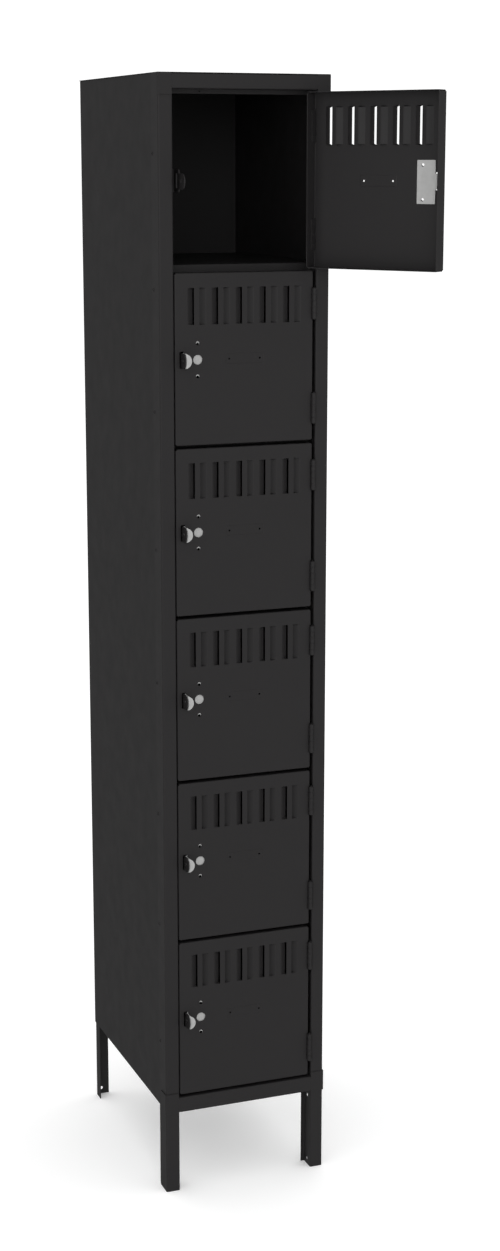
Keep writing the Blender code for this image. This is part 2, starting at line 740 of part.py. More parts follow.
def build_frame(paint):
    place("left_upright", upright_mesh(False), paint)
    place("right_upright", right_upright_mesh(), paint)
    place("rear_left_leg", rear_leg_mesh(False), paint)
    place("rear_right_leg", rear_leg_mesh(True), paint)
    place("left_side_panel", side_panel_mesh(False), paint)
    place("right_side_panel", side_panel_mesh(True), paint)
    place("back_panel", back_panel_mesh(), paint)
    place("top_panel", top_panel_mesh(), paint)
    place("top_cross_member", top_cross_member_mesh(), paint)
    place("base_cross_member", base_cross_member_mesh(), paint)


def build_tiers(paint):
    shelf = shelf_mesh()
    staple = staple_mesh()
    place("bottom_shelf", shelf, paint, location=(0, 0, LOWEST_TIER_GAP))
    for tier in range(1, TIERS):
        height = LOWEST_TIER_GAP + (TIERS - tier) * TIER_PITCH
        place(f"shelf_{tier}", shelf, paint, location=(0, 0, height))
    for tier, mid in enumerate(door_mids(), start=1):
        place(f"padlock_staple_{tier}", staple, paint, location=(0, 0, mid))


def build_doors(paint, zinc):
    panel = door_panel_mesh()
    catch = catch_plate_mesh()
    leaf = door_leaf_mesh()
    pin = hinge_pin_mesh()
    for tier, mid in enumerate(door_mids(), start=1):
        axis = bpy.data.objects.new(f"door_{tier}_axis", None)
        bpy.context.scene.collection.objects.link(axis)
        axis.location = (HINGE_X, HINGE_Y, mid)
        axis.rotation_euler = (0, 0, OPEN_ANGLE if tier == OPEN_DOOR else 0.0)
        place(f"door_{tier}_panel", panel, paint, axis)
        place(f"door_{tier}_catch_plate", catch, zinc, axis)
        for side, word in ((1, "upper"), (-1, "lower")):
            height = side * HINGE_OFFSET
            place(f"door_{tier}_{word}_hinge_leaf", leaf, paint, axis, (0, 0, height))
            place(f"door_{tier}_{word}_hinge_pin", pin, paint, axis, (0, 0, height))


def main():
    clear_scene()
    paint = black_paint()
    build_frame(paint)
    build_tiers(paint)
    build_doors(paint, zinc_plate())


main()
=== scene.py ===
"""Looks of the locker cabinet: folded sheet steel in black powder coat, with louvers and zinc catches."""

import json
import math

import bmesh
import bpy
from mathutils import Matrix, Vector


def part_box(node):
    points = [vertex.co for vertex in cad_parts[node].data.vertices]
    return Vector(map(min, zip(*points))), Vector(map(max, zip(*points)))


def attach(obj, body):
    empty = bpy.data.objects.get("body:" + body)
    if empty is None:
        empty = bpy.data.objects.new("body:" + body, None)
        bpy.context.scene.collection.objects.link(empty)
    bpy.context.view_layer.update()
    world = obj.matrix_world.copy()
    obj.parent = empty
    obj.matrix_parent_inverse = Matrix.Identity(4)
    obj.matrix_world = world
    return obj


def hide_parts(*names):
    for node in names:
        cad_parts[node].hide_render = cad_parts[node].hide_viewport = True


MM = 0.001

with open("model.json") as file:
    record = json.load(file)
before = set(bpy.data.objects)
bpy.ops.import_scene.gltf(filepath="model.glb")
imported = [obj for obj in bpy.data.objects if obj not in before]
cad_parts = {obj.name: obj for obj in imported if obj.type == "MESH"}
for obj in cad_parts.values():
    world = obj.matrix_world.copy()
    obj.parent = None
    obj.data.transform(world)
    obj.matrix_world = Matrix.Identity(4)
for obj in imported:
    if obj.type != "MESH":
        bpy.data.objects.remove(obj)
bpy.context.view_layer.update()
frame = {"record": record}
joints = frame["record"]["behaviour"]["joints"]


def node_box(name):
    low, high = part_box(name)
    return Vector(low), Vector(high)


# Main planes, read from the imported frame
LEFT_UPRIGHT = node_box("left_upright")
SIDE = node_box("left_side_panel")
BACK = node_box("back_panel")
TOP = node_box("top_panel")
TOP_MEMBER = node_box("top_cross_member")
BASE_MEMBER = node_box("base_cross_member")
REAR_LEG = node_box("rear_left_leg")
STAPLE = node_box("padlock_staple_1")
DOOR = node_box("door_2_panel")
WIDTH = TOP[1].x
HINGE = Vector(joints[1]["pos_m"])

# Sheets and bends
FRAME_SHEET = 1.5 * MM
MEMBER_SHEET = 1.2 * MM
BODY_SHEET = 0.8 * MM
SHELF_SHEET = 1.0 * MM
DOOR_SHEET = 1.2 * MM
BEND = 2.2 * MM
BEND_STEPS = 6
GAP = 0.3 * MM
EDGE = 0.22 * MM
FINE_EDGE = 0.15 * MM
SKIN_BEND = 1.4 * MM
WRAP_BEND = 1.8 * MM
TINY = 1e-6

# Uprights
UPRIGHT_FACE = 24.0 * MM
LATCH_SIDE_FACE = 25.8 * MM
STOP_FRONT = 29.5 * MM
STOP_REACH = LEFT_UPRIGHT[1].x
FOOT_TRIM = 5.0 * MM
LEG_HOLE = 7.0 * MM
LEG_HOLES = ((16.5 * MM, 11.0 * MM), (16.5 * MM, 138.5 * MM))
REAR_LEG_HOLE = (12.0 * MM, 12.0 * MM)
SIDE_RIVETS = (117.5 * MM, 355.5 * MM, 560.5 * MM, 783.5 * MM)
SIDE_RIVET_MIDDLE = 1067.5 * MM
SIDE_RIVET_RADIUS = 3.4 * MM
SIDE_RIVET_HEIGHT = 1.2 * MM
RIVET_BACK = 30.5 * MM

# Cross members and shelves
MEMBER_REACH = 24.0 * MM
TOP_FACE_BOTTOM = 1955.0 * MM
STOP_LIP_BOTTOM = 1948.0 * MM
BASE_FACE_TOP = 181.5 * MM
LIP_HOLE = (83.0 * MM, 1951.8 * MM)
LIP_HOLE_RADIUS = 1.8 * MM
SHELF_LIP = 12.0 * MM
SHELF_FLANGE_FRONT = 32.0 * MM

# Padlock staples, about the middle of the door
STAPLE_SHEET = 1.7 * MM
STAPLE_BACK = 24.0 * MM
STAPLE_FOOT_FRONT = 23.0 * MM
EAR_HALF = 13.0 * MM
EAR_MIDDLE = -1.0 * MM
EAR_START = 6.2 * MM
NOSE_START = -8.7 * MM
NOSE_STEPS = 28
SHOULDERS = (8.7 * MM, 7.4 * MM)
SHOULDER_DROP = 1.6 * MM
WINDOW_Y = (6.7 * MM, 20.5 * MM)
WINDOW_HALF = 12.5 * MM

# Louvers, from the hinge axis and the middle of the door
LOUVERS = 5
LOUVER_PITCH = 42.95 * MM
LOUVER_FIRST = 61.5 * MM - HINGE.x
LOUVER_STRIP = 9.3 * MM
LOUVER_SLIT = 1.0 * MM
LOUVER_RAMP = 11.5 * MM
LOUVER_DEPTH = 6.0 * MM
LOUVER_BOTTOM = 58.4 * MM
LOUVER_TOP = 120.3 * MM
LOUVER_END = 1.8 * MM
RAMP_SHAPE = ((0.0, 0.0), (0.06, 0.01), (0.16, 0.10), (0.35, 0.34), (0.6, 0.66), (0.82, 0.90), (1.0, 1.0))
END_SHAPE = ((0.0, 0.0), (0.2, 0.12), (0.5, 0.5), (0.8, 0.88), (1.0, 1.0))

# Latch openings and number plate recess
LATCH_SLOT = (35.0 * MM - HINGE.x, 43.8 * MM - HINGE.x)
LATCH_SLOT_Z = (-14.2 * MM, 14.6 * MM)
CATCH_LEFT = 44.0 * MM - HINGE.x
CATCH_RIGHT = 78.0 * MM - HINGE.x
CATCH_Z = (-36.4 * MM, 34.0 * MM)
CATCH_SHEET = 1.3 * MM
CATCH_EDGE = 0.2 * MM
PULL_LEFT = 40.3 * MM - HINGE.x
PULL_REACH = 19.0 * MM
PULL_MIDDLE = (38.1 * MM - HINGE.x, -0.5 * MM)
PULL_RADIUS = 12.5 * MM
STAPLE_EYE = 7.6 * MM
STAPLE_EYE_Y = -6.4 * MM
LOCK_X = 67.6 * MM - HINGE.x
LOCK_HOLE = 16.5 * MM
LOCK_SCREW_HOLE = 6.6 * MM
LOCK_SCREW_Z = 27.8 * MM
SCREW_DRILL_RADIUS = 2.8 * MM
SCREW_DRILL_DROP = 1.9 * MM
NUMBER_HOLES_X = (124.2 * MM - HINGE.x, 179.7 * MM - HINGE.x)
NUMBER_HOLE = 3.4 * MM
RECESS_X = (117.5 * MM - HINGE.x, 186.5 * MM - HINGE.x)
RECESS_Z = (-8.8 * MM, 9.2 * MM)
RECESS_EDGE = 0.8 * MM
RECESS_DEPTH = 0.5 * MM

# Hinges
KNUCKLES = 5
HINGE_HEIGHT = 52.0 * MM
HINGE_OFFSET = 89.5 * MM
LEAF_SHEET = 1.4 * MM
LEAF_FRONT = 3.6 * MM
LEAF_BACK = 17.0 * MM
FRAME_LEAF_X = 3.2 * MM
KNUCKLE_RADIUS = 3.9 * MM
KNUCKLE_GAP = 0.2 * MM
ROLL_SWEEP = 305
ROLL_STEPS = 20
PIN_RADIUS = 1.4 * MM
PIN_HEAD_RADIUS = 2.5 * MM
BEAD_LOW = (3.0 * MM, 6.0 * MM, -20.0 * MM)
BEAD_HIGH = (4.7 * MM, 15.0 * MM, 20.0 * MM)
LEAF_RIVETS_Z = (-18.0 * MM, 0.0, 18.0 * MM)
LEAF_RIVET_RADIUS = 2.4 * MM
LEAF_RIVET_HEIGHT = 0.9 * MM
NOTCH_LEFT = 273.6 * MM - HINGE.x
NOTCH_HALF = 27.0 * MM
NOTCH_WIDTH = 9.0 * MM
NOTCH_DEPTH = 5.0 * MM

# Coats: base level and how far the paint is thinned on the edges
DOOR_LEVEL = 0.0185
FRAME_LEVEL = 0.0185
# The sheets carry the same powder coat at a darker level. This is painted shade: it takes down the extra
# light the key throws on the side panels, and it is carried to the back, top and shelves
PANEL_SHADED_LEVEL = 0.0155
EDGE_WORN = 0.5
PANEL_WORN = 0.3

# --- materials -------------------------------------------------------------------------------------------


def new_material(name):
    made = bpy.data.materials.new(name)
    made.use_nodes = True
    return made, made.node_tree.nodes, made.node_tree.links


def add_noise(nodes, links, scale, detail, rough=0.55):
    place = nodes.new("ShaderNodeTexCoord")
    noise = nodes.new("ShaderNodeTexNoise")
    noise.inputs["Scale"].default_value = scale
    noise.inputs["Detail"].default_value = detail
    noise.inputs["Roughness"].default_value = rough
    links.new(place.outputs["Object"], noise.inputs["Vector"])
    return noise.outputs["Fac"]


def add_ramp(nodes, links, source, stops):
    ramp = nodes.new("ShaderNodeValToRGB")
    elements = ramp.color_ramp.elements
    while len(elements) < len(stops):
        elements.new(0.5)
    for element, (place, colour) in zip(elements, stops):
        element.position = place
        element.color = (*colour, 1.0)
    links.new(source, ramp.inputs["Fac"])
    return ramp.outputs["Color"]


def mix_colours(nodes, links, factor, first, second):
    mix = nodes.new("ShaderNodeMix")
    mix.data_type = "RGBA"
    links.new(factor, mix.inputs["Factor"])
    links.new(first, mix.inputs[6])
    links.new(second, mix.inputs[7])
    return mix.outputs[2]


def grey(value, tint=(1.04, 0.97, 1.0)):
    return tuple(value * part for part in tint)


def powder_coat(name, level, worn):
    """Black powder coat: fine orange peel, faint mottling, pale specks and paint thinned on the edges."""
    made, nodes, links = new_material(name)
    shader = nodes["Principled BSDF"]
    shader.inputs["Specular IOR Level"].default_value = 0.35
    mottle = add_noise(nodes, links, 7.0, 4.0)
    base = add_ramp(nodes, links, mottle, ((0.3, grey(level * 0.985)), (0.7, grey(level * 1.015))))
    specks = add_noise(nodes, links, 900.0, 2.0)
    fleck = add_ramp(nodes, links, specks, ((0.66, (0, 0, 0)), (0.78, (1, 1, 1))))
    light = add_ramp(nodes, links, mottle, ((0.0, grey(level * 1.5)), (1.0, grey(level * 1.9))))
    flecked = mix_colours(nodes, links, fleck, base, light)
    geometry = nodes.new("ShaderNodeNewGeometry")
    rounded = nodes.new("ShaderNodeBevel")
    rounded.samples = 4
    rounded.inputs["Radius"].default_value = 0.0006
    turned = nodes.new("ShaderNodeVectorMath")
    turned.operation = "DOT_PRODUCT"
    links.new(geometry.outputs["Normal"], turned.inputs[0])
    links.new(rounded.outputs["Normal"], turned.inputs[1])
    edges = add_ramp(nodes, links, turned.outputs["Value"], ((0.72, (worn,) * 3), (0.97, (0, 0, 0))))
    thin = add_ramp(nodes, links, mottle, ((0.0, grey(level * 2.0)), (1.0, grey(level * 3.2))))
    final = mix_colours(nodes, links, edges, flecked, thin)
    links.new(final, shader.inputs["Base Color"])
    gloss = add_noise(nodes, links, 24.0, 5.0)
    rough = add_ramp(nodes, links, gloss, ((0.25, (0.46,) * 3), (0.75, (0.54,) * 3)))
    links.new(rough, shader.inputs["Roughness"])
    peel = nodes.new("ShaderNodeBump")
    peel.inputs["Strength"].default_value = 0.35
    peel.inputs["Distance"].default_value = 0.00012
    links.new(add_noise(nodes, links, 650.0, 3.0), peel.inputs["Height"])
    links.new(peel.outputs["Normal"], shader.inputs["Normal"])
    return made


def panel_coat(name, level, worn):
    """The same coat on wide thin sheets, which are never quite flat."""
    made = powder_coat(name, level, worn)
    nodes, links = made.node_tree.nodes, made.node_tree.links
    wave = nodes.new("ShaderNodeBump")
    wave.inputs["Strength"].default_value = 0.05
    wave.inputs["Distance"].default_value = 0.002
    links.new(add_noise(nodes, links, 3.0, 1.0, 0.3), wave.inputs["Height"])
    peel = next(node for node in nodes if node.type == "BUMP" and node != wave)
    links.new(wave.outputs["Normal"], peel.inputs["Normal"])
    return made


def zinc_plate():
    """Zinc plate: pale grey, lightly rolled along its length, with a cloudy bloom."""
    made, nodes, links = new_material("zinc_plated_steel")
    shader = nodes["Principled BSDF"]
    shader.inputs["Metallic"].default_value = 0.45
    cloud = add_noise(nodes, links, 90.0, 4.0)
    colour = add_ramp(nodes, links, cloud, ((0.25, (0.50, 0.50, 0.495)), (0.75, (0.57, 0.57, 0.565))))
    links.new(colour, shader.inputs["Base Color"])
    place = nodes.new("ShaderNodeTexCoord")
    stretch = nodes.new("ShaderNodeMapping")
    stretch.inputs["Scale"].default_value = (2500.0, 300.0, 60.0)
    lines = nodes.new("ShaderNodeTexNoise")
    lines.inputs["Detail"].default_value = 3.0
    links.new(place.outputs["Object"], stretch.inputs["Vector"])
    links.new(stretch.outputs["Vector"], lines.inputs["Vector"])
    rough = add_ramp(nodes, links, lines.outputs["Fac"], ((0.3, (0.38,) * 3), (0.7, (0.52,) * 3)))
    links.new(rough, shader.inputs["Roughness"])
    bump = nodes.new("ShaderNodeBump")
    bump.inputs["Strength"].default_value = 0.15
    bump.inputs["Distance"].default_value = 0.00005
    links.new(lines.outputs["Fac"], bump.inputs["Height"])
    links.new(bump.outputs["Normal"], shader.inputs["Normal"])
    return made


# --- shapes ----------------------------------------------------------------------------------------------


def finished_mesh(name, bm):
    bmesh.ops.recalc_face_normals(bm, faces=bm.faces)
    mesh = bpy.data.meshes.new(name)
    bm.to_mesh(mesh)
    bm.free()
    return mesh


def prism_mesh(outline, axis, low, high):
    """A straight bar along an axis. The outline is (y, z), (x, z) or (x, y) points for axis x, y or z."""
    corner = {
        "x": lambda a, b: (low, a, b),
        "y": lambda a, b: (a, low, b),
        "z": lambda a, b: (a, b, low),
    }[axis]
    step = {"x": (1, 0, 0), "y": (0, 1, 0), "z": (0, 0, 1)}[axis]
    bm = bmesh.new()
    face = bm.faces.new([bm.verts.new(corner(a, b)) for a, b in outline])
    grown = bmesh.ops.extrude_face_region(bm, geom=[face])["geom"]
    moved = [part for part in grown if isinstance(part, bmesh.types.BMVert)]
    bmesh.ops.translate(bm, verts=moved, vec=Vector(step) * (high - low))
    return finished_mesh("bar", bm)


def box_mesh(low, high):
    outline = [(low[0], low[1]), (high[0], low[1]), (high[0], high[1]), (low[0], high[1])]
    return prism_mesh(outline, "z", low[2], high[2])


def circle_outline(centre, radius, steps=32):
    turns = [2 * math.pi * i / steps for i in range(steps)]
    return [(centre[0] + radius * math.cos(a), centre[1] + radius * math.sin(a)) for a in turns]


def rounded_outline(corners, radius, steps=6):
    """A closed outline with its corners rounded; a corner can bring its own radius as a third number."""
    points = []
    count = len(corners)
    for i, corner in enumerate(corners):
        size = corner[2] if len(corner) > 2 else radius
        here = Vector(corner[:2])
        into = (here - Vector(corners[i - 1][:2])).normalized()
        out = (Vector(corners[(i + 1) % count][:2]) - here).normalized()
        turn = math.atan2(into.x * out.y - into.y * out.x, into.dot(out))
        reach = size * math.tan(abs(turn) / 2)
        side = Vector((-into.y, into.x)) * math.copysign(1, turn)
        centre = here - into * reach + side * size
        for step in range(steps + 1):
            points.append(tuple(centre + Matrix.Rotation(turn * step / steps, 2) @ -side * size))
    return points


def folded_outline(corners, thickness, bend=BEND):
    """Outline of a folded sheet whose middle line runs through the corners, with a round bend at each."""
    points = [Vector(corner) for corner in corners]
    half = thickness / 2
    left, right = [], []
    last = len(points) - 1
    for i, point in enumerate(points):
        into = (point - points[i - 1]).normalized() if i > 0 else None
        out = (points[i + 1] - point).normalized() if i < last else None
        if into is None or out is None:
            along = out or into
            side = Vector((-along.y, along.x))
            left.append(point + side * half)
            right.append(point - side * half)
            continue
        turn = math.atan2(into.x * out.y - into.y * out.x, into.dot(out))
        sign = math.copysign(1, turn)
        reach = bend * math.tan(abs(turn) / 2)
        side = Vector((-into.y, into.x)) * sign
        centre = point - into * reach + side * bend
        for step in range(BEND_STEPS + 1):
            spoke = Matrix.Rotation(turn * step / BEND_STEPS, 2) @ -side
            left.append(centre + spoke * (bend - sign * half))
            right.append(centre + spoke * (bend + sign * half))
    return [tuple(point) for point in left + right[::-1]]


def mirrored(outline):
    return [(WIDTH - x, y) for x, y in outline]


def baked_mesh(obj):
    graph = bpy.context.evaluated_depsgraph_get()
    return bpy.data.meshes.new_from_object(obj.evaluated_get(graph))


def combined(operation, first, others):
    result = first
    for other in others:
        base = bpy.data.objects.new("base", result)
        tool = bpy.data.objects.new("tool", other)
        for obj in (base, tool):
            bpy.context.scene.collection.objects.link(obj)
        step = base.modifiers.new("combine", "BOOLEAN")
        step.operation = operation
        step.solver = "EXACT"
        step.object = tool
        result = baked_mesh(base)
        for obj in (base, tool):
            bpy.data.objects.remove(obj, do_unlink=True)
    return result


def joined(first, *others):
    return combined("UNION", first, others)


def cut(first, *others):
    return combined("DIFFERENCE", first, others)


def gathered(meshes):
    """Several meshes as one, each part still its own surface."""
    bm = bmesh.new()
    for mesh in meshes:
        bm.from_mesh(mesh)
    return finished_mesh("gathered", bm)


def moved_mesh(mesh, matrix):
    copy = mesh.copy()
    copy.transform(matrix)
    if matrix.determinant() < 0:
        copy.flip_normals()
    return copy


def lathe_mesh(profile, sides=24):
    """A turned shape about Z from (radius, z) points; a radius of zero closes the end."""
    bm = bmesh.new()
    rings = []
    for radius, z in profile:
        if radius == 0:
            rings.append([bm.verts.new((0, 0, z))])
        else:
            rings.append([bm.verts.new((x, y, z)) for x, y in circle_outline((0, 0), radius, sides)])
    for lower, upper in zip(rings, rings[1:]):
        for i in range(sides):
            j = (i + 1) % sides
            below = [lower[i % len(lower)], lower[j % len(lower)]]
            above = [upper[j % len(upper)], upper[i % len(upper)]]
            bm.faces.new(list(dict.fromkeys(below + above)))
    for ring in (rings[0], rings[-1]):
        if len(ring) > 2:
            bm.faces.new(ring)
    return finished_mesh("turned", bm)


def rivet_mesh(radius, height):
    """A blind rivet's domed head with its hollow middle and its flat side on z = 0."""
    steps = 5
    hollow = 0.42 * radius
    profile = [(radius, 0.0)]
    for i in range(1, steps + 1):
        turn = math.pi / 2 * i / steps
        profile.append((hollow + (radius - hollow) * math.cos(turn), height * math.sin(turn)))
    profile += [(hollow, 0.1 * height), (0, 0.1 * height)]
    return lathe_mesh(profile)


def piece(name, mesh, material, body, nodes=(), matrix=None, edge=EDGE):
    """A shown piece with softened edges, riding on a body and standing for CAD nodes."""
    obj = bpy.data.objects.new(name, mesh)
    bpy.context.scene.collection.objects.link(obj)
    mesh.materials.clear()
    mesh.materials.append(material)
    mesh.shade_smooth()
    mesh.set_sharp_from_angle(angle=math.radians(32))
    if matrix is not None:
        obj.matrix_world = matrix
    if edge:
        bevel = obj.modifiers.new("soft_edges", "BEVEL")
        bevel.width = edge
        bevel.segments = 2
        bevel.limit_method = "ANGLE"
        bevel.angle_limit = math.radians(40)
        bevel.use_clamp_overlap = True
    flat = obj.modifiers.new("flat_faces", "WEIGHTED_NORMAL")
    flat.keep_sharp = True
    flat.weight = 100
    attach(obj, body)
    if nodes:
        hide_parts(*nodes)
    return obj


# --- frame -----------------------------------------------------------------------------------------------


def upright_outline(face):
    mid = FRAME_SHEET / 2
    path = [
        (mid, LEFT_UPRIGHT[1].y),
        (mid, mid),
        (face - mid, mid),
        (face - mid, STOP_FRONT + mid),
        (STOP_REACH, STOP_FRONT + mid),
    ]
    return folded_outline(path, FRAME_SHEET)


def upright_mesh(flip):
    """Corner channel with its leg holes and the trimmed rear corners of its foot."""
    outline = upright_outline(UPRIGHT_FACE if flip else LATCH_SIDE_FACE)
    reach = 3 * FRAME_SHEET
    low, high = UPRIGHT_FACE - reach, UPRIGHT_FACE + reach
    side_low, side_high = -reach, 2 * reach
    if flip:
        outline = mirrored(outline)
        low, high = WIDTH - high, WIDTH - low
        side_low, side_high = WIDTH - side_high, WIDTH - side_low
    back = LEFT_UPRIGHT[1].y
    tools = [prism_mesh(circle_outline(hole, LEG_HOLE / 2), "x", low, high) for hole in LEG_HOLES]
    trim = [
        (back - FOOT_TRIM, -reach),
        (back + reach, -reach),
        (back + reach, FOOT_TRIM),
        (back, FOOT_TRIM),
    ]
    tools.append(prism_mesh(trim, "x", side_low, side_high))
    return cut(prism_mesh(outline, "z", 0.0, LEFT_UPRIGHT[1].z), *tools)


def build_uprights(coat):
    piece("visual_left_upright", upright_mesh(False), coat, "frame", ["left_upright"])
    piece("visual_right_upright", upright_mesh(True), coat, "frame", ["right_upright"])


def build_side_rivets(coat):
    """Blind rivet heads down both side flanges."""
    head = rivet_mesh(SIDE_RIVET_RADIUS, SIDE_RIVET_HEIGHT)
    heights = [SIDE_RIVET_MIDDLE + sign * offset for offset in SIDE_RIVETS for sign in (1, -1)]
    for word, x, turn in (("left", 0.0, -math.pi / 2), ("right", WIDTH, math.pi / 2)):
        heads = []
        for height in heights:
            spot = Matrix.Translation((x, RIVET_BACK, height)) @ Matrix.Rotation(turn, 4, "Y")
            heads.append(moved_mesh(head, spot))
        piece(f"{word}_side_rivets", gathered(heads), coat, "frame", edge=0)


def build_rear_legs(coat):
    mid = FRAME_SHEET / 2
    low, high = REAR_LEG
    path = [(low.x + mid, low.y), (low.x + mid, high.y - mid), (high.x, high.y - mid)]
    outline = folded_outline(path, FRAME_SHEET)
    for word, flip in (("left", False), ("right", True)):
        shape = mirrored(outline) if flip else outline
        hole_x = WIDTH - REAR_LEG_HOLE[0] if flip else REAR_LEG_HOLE[0]
        hole = circle_outline((hole_x, REAR_LEG_HOLE[1]), LEG_HOLE / 2)
        drill = prism_mesh(hole, "y", high.y - 4 * mid, high.y + mid)
        mesh = cut(prism_mesh(shape, "z", 0.0, high.z), drill)
        piece(f"visual_rear_{word}_leg", mesh, coat, "frame", [f"rear_{word}_leg"])


def build_skins(coat):
    """Side sheets with folded rear edges, the back and the top."""
    mid = BODY_SHEET / 2
    low, high = SIDE
    path = [(low.x + mid, low.y), (low.x + mid, high.y - mid), (high.x, high.y - mid)]
    outline = folded_outline(path, BODY_SHEET, SKIN_BEND)
    for word, flip in (("left", False), ("right", True)):
        shape = mirrored(outline) if flip else outline
        mesh = prism_mesh(shape, "z", low.z, high.z)
        piece(f"visual_{word}_side_panel", mesh, coat, "frame", [f"{word}_side_panel"], edge=FINE_EDGE)
    piece("visual_back_panel", box_mesh(*BACK), coat, "frame", ["back_panel"], edge=FINE_EDGE)
    top = box_mesh((TOP[0].x, TOP[0].y, TOP[1].z - BODY_SHEET), TOP[1])
    piece("visual_top_panel", top, coat, "frame", ["top_panel"], edge=FINE_EDGE)


def member_ends(low, high, ear_low, ear_high, wrap):
    """Front plates over both uprights, folded round their sides if wrap is more than zero."""
    mid = MEMBER_SHEET / 2
    web = -GAP - mid
    lap = UPRIGHT_FACE + 3 * GAP
    meshes = []
    for flip in (False, True):
        if wrap:
            path = [(UPRIGHT_FACE, web), (web, web), (web, wrap)]
        else:
            path = [(UPRIGHT_FACE, web), (0.0, web)]
        outline = folded_outline(path, MEMBER_SHEET, WRAP_BEND)
        tie = [(UPRIGHT_FACE / 2, lap), (WIDTH - lap, WIDTH - UPRIGHT_FACE / 2)][flip]
        outline = mirrored(outline) if flip else outline
        meshes.append(prism_mesh(outline, "z", ear_low, ear_high))
        meshes.append(box_mesh((tie[0], web - mid, low + 2 * BEND), (tie[1], web + mid, high - 2 * BEND)))
    return meshes


def build_members(coat):
    """The folded top member with the doors' stop lip, and the base member wrapped round the uprights."""
    mid = MEMBER_SHEET / 2
    web = -GAP - mid
    inner = UPRIGHT_FACE + GAP
    low, high = TOP_MEMBER[0].z, TOP_MEMBER[1].z
    top = high - mid
    bottom = TOP_FACE_BOTTOM + mid
    stop = STOP_FRONT + mid
    path = [(MEMBER_REACH, top), (web, top), (web, bottom), (stop, bottom), (stop, STOP_LIP_BOTTOM)]
    bar = prism_mesh(folded_outline(path, MEMBER_SHEET), "x", inner, WIDTH - inner)
    ends = member_ends(bottom - mid, high, low, high, 0.0)
    notch = STOP_REACH + GAP
    notches = [
        box_mesh((left, STOP_FRONT - BEND, low - GAP), (left + notch, 2 * STOP_FRONT, high + GAP))
        for left in (0.0, WIDTH - notch)
    ]
    hole = circle_outline(LIP_HOLE, LIP_HOLE_RADIUS)
    drill = prism_mesh(hole, "y", STOP_FRONT - GAP, 2 * STOP_FRONT)
    mesh = cut(joined(bar, *ends), *notches, drill)
    piece("visual_top_cross_member", mesh, coat, "frame", ["top_cross_member"], edge=FINE_EDGE)
    low, high = BASE_MEMBER[0].z, BASE_FACE_TOP
    path = [(MEMBER_REACH, low + mid), (web, low + mid), (web, high - mid), (MEMBER_REACH, high - mid)]
    bar = prism_mesh(folded_outline(path, MEMBER_SHEET), "x", inner, WIDTH - inner)
    ends = member_ends(low, high, low, BASE_MEMBER[1].z, BASE_MEMBER[1].y)
    mesh = joined(bar, *ends)
    piece("visual_base_cross_member", mesh, coat, "frame", ["base_cross_member"], edge=FINE_EDGE)


def build_shelves(coat):
    mid = SHELF_SHEET / 2
    for name in ["bottom_shelf"] + [f"shelf_{i}" for i in range(1, 6)]:
        low, high = node_box(name)
        top = high.z - mid
        path = [
            (low.y + mid, low.z),
            (low.y + mid, top),
            (high.y - mid, top),
            (high.y - mid, high.z - SHELF_LIP),
        ]
        sheet = prism_mesh(folded_outline(path, SHELF_SHEET), "x", low.x, high.x)
        notch = STOP_REACH + GAP
        corners = [
            box_mesh((left, 0.0, low.z - GAP), (left + notch, STOP_FRONT + FRAME_SHEET + GAP, high.z + GAP))
            for left in (0.0, WIDTH - notch)
        ]
        flange_low = high.z - SHELF_LIP
        flange_back = high.y - 3 * BEND
        flanges = [
            box_mesh((left, SHELF_FLANGE_FRONT, flange_low), (left + SHELF_SHEET, flange_back, top))
            for left in (low.x, high.x - SHELF_SHEET)
        ]
        mesh = joined(cut(sheet, *corners), *flanges)
        piece(f"visual_{name}", mesh, coat, "frame", [name], edge=FINE_EDGE)


def staple_mesh():
    """Padlock staple about the middle of its door: a round-nosed ear with an eye, a window and a foot."""
    low, high = STAPLE
    half = (high.z - low.z) / 2
    mid = STAPLE_SHEET / 2
    right = high.x
    left = right - STAPLE_SHEET
    top, bottom = EAR_MIDDLE + EAR_HALF, EAR_MIDDLE - EAR_HALF
    near, far = SHOULDERS[1], SHOULDERS[0]
    shoulder = half - SHOULDER_DROP
    outline = [(STAPLE_BACK, -half), (STAPLE_BACK, half), (far, half), (near, shoulder), (EAR_START, top)]
    for i in range(NOSE_STEPS + 1):
        turn = math.pi * i / NOSE_STEPS
        reach = (low.y - NOSE_START) * math.sin(turn)
        outline.append((NOSE_START + reach, EAR_MIDDLE + EAR_HALF * math.cos(turn)))
    outline += [(EAR_START, bottom), (near, -shoulder), (far, -half)]
    plate = prism_mesh(outline, "x", left, right)
    path = [(right - mid, STAPLE_FOOT_FRONT), (right - mid, high.y - mid), (low.x, high.y - mid)]
    foot = prism_mesh(folded_outline(path, STAPLE_SHEET), "z", -half, half)
    corners = [
        (WINDOW_Y[0], -WINDOW_HALF),
        (WINDOW_Y[1], -WINDOW_HALF),
        (WINDOW_Y[1], WINDOW_HALF),
        (WINDOW_Y[0], WINDOW_HALF),
    ]
    window = prism_mesh(rounded_outline(corners, 2.0 * MM), "x", left - MM, right + MM)
    eye = prism_mesh(circle_outline((STAPLE_EYE_Y, 0.0), STAPLE_EYE / 2), "x", left - MM, right + MM)
    return cut(joined(plate, foot), window, eye)


def build_staples(coat):
    mesh = staple_mesh()
    for i, joint in enumerate(joints, start=1):
        spot = Matrix.Translation((0, 0, joint["pos_m"][2]))
        piece(f"visual_padlock_staple_{i}", mesh.copy(), coat, "frame", [f"padlock_staple_{i}"], spot)


# --- hinges ----------------------------------------------------------------------------------------------


